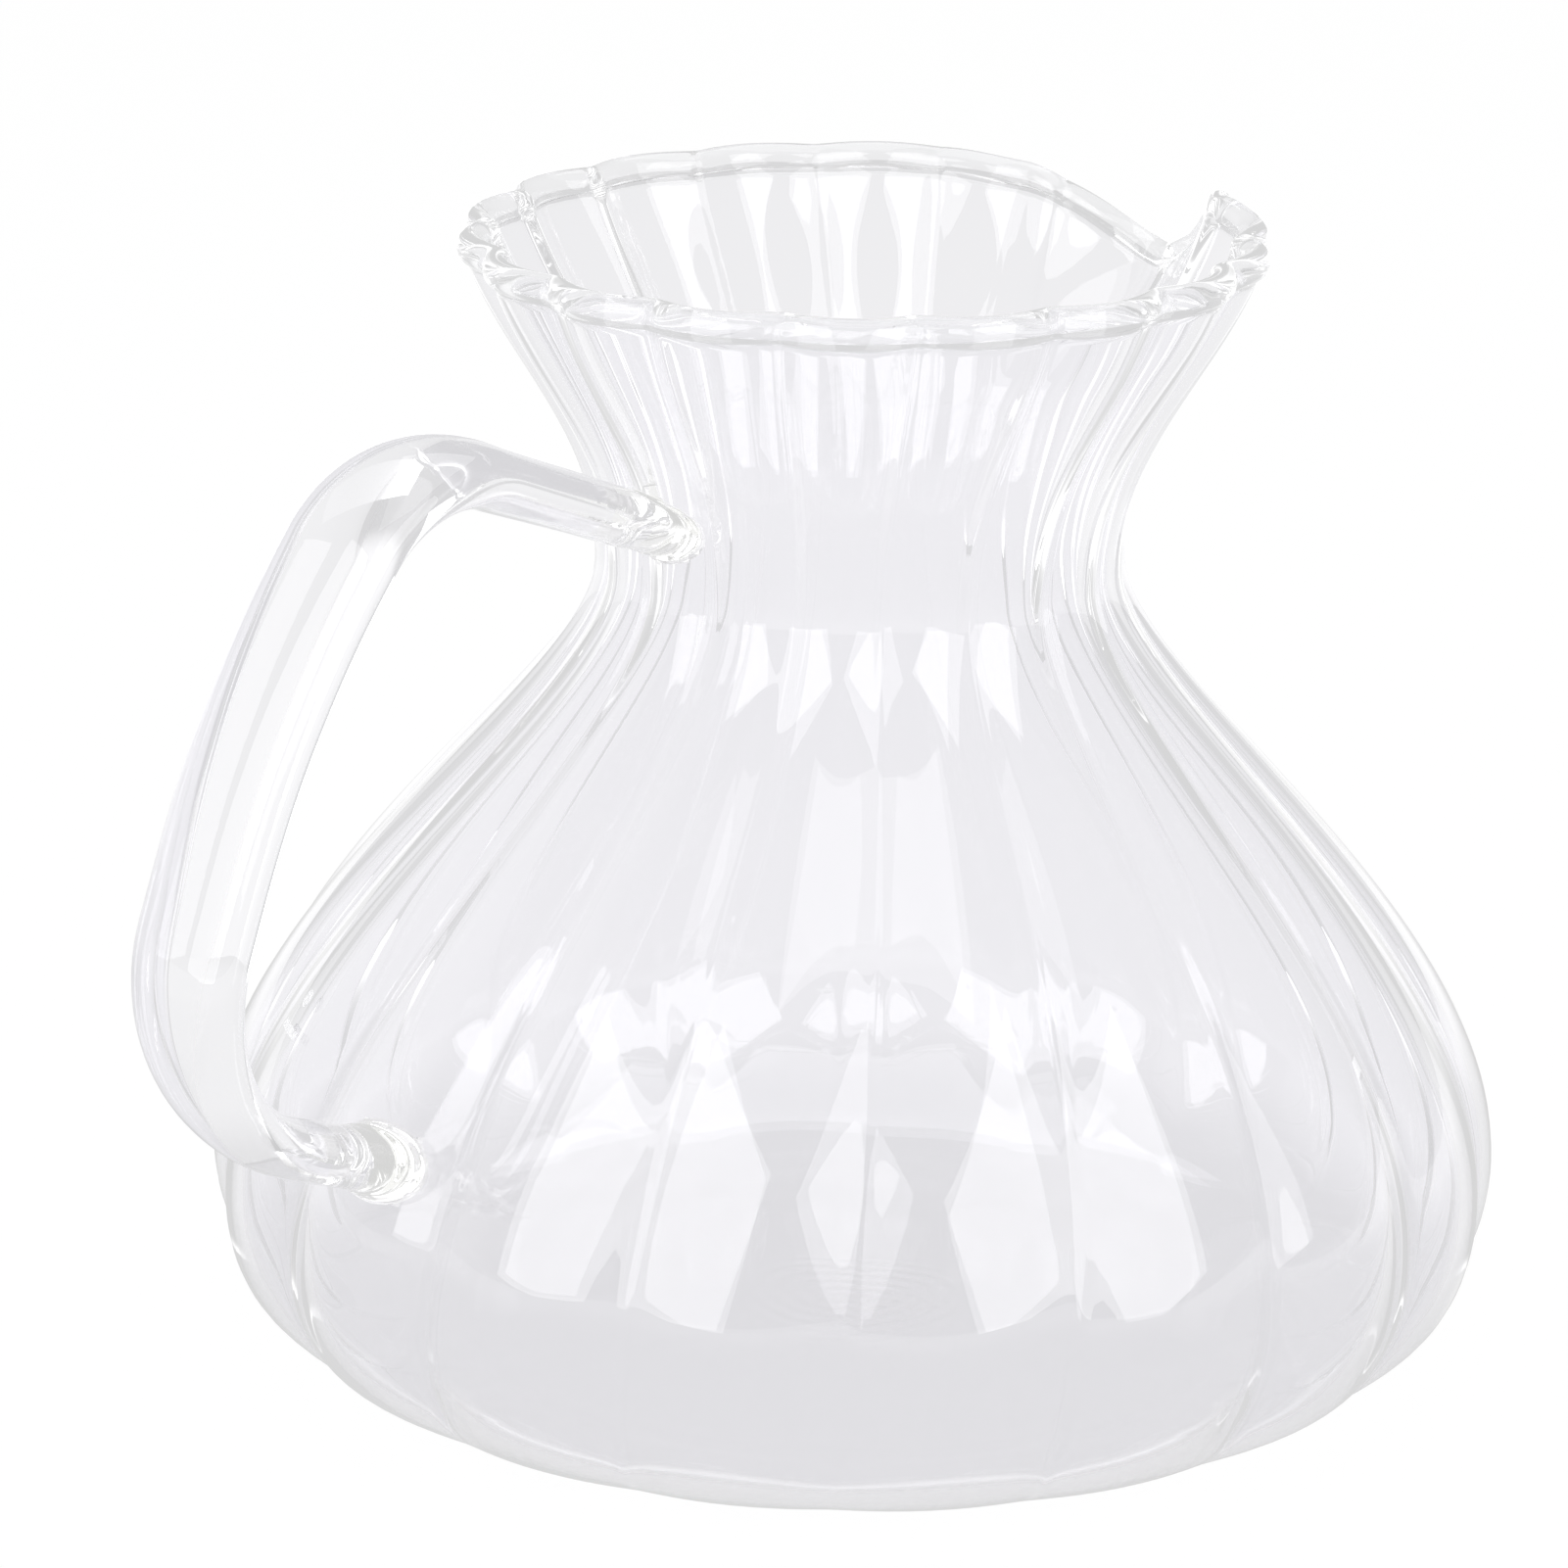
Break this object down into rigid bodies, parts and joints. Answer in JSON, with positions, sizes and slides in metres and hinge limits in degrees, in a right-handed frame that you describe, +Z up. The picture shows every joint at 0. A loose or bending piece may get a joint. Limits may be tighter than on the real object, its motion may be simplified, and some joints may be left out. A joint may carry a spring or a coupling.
{
  "type": "coffee server carafe",
  "caption": "Hand-blown clear glass coffee server with a fluted pear-shaped body, flared scalloped rim, pulled pouring lip and a fused flattened-rod handle.",
  "frame": {"origin": "middle of the flat underside of the foot, on the vessel's axis", "axes": "+Z up along the vessel's axis, +X towards the pouring lip, -X towards the handle"},
  "size_m": [0.1363, 0.1158, 0.1039],
  "materials": {
    "blown_glass": "clear fire-polished borosilicate glass",
    "rod_glass": "clear solid borosilicate rod, fire-polished",
    "weld_glass": "fused clear glass with a faint straw tint"
  },
  "bodies": {
    "root": {"vessel": "blown_glass", "handle": "rod_glass", "upper_weld": "weld_glass", "lower_weld": "weld_glass"}
  },
  "joints": []
}
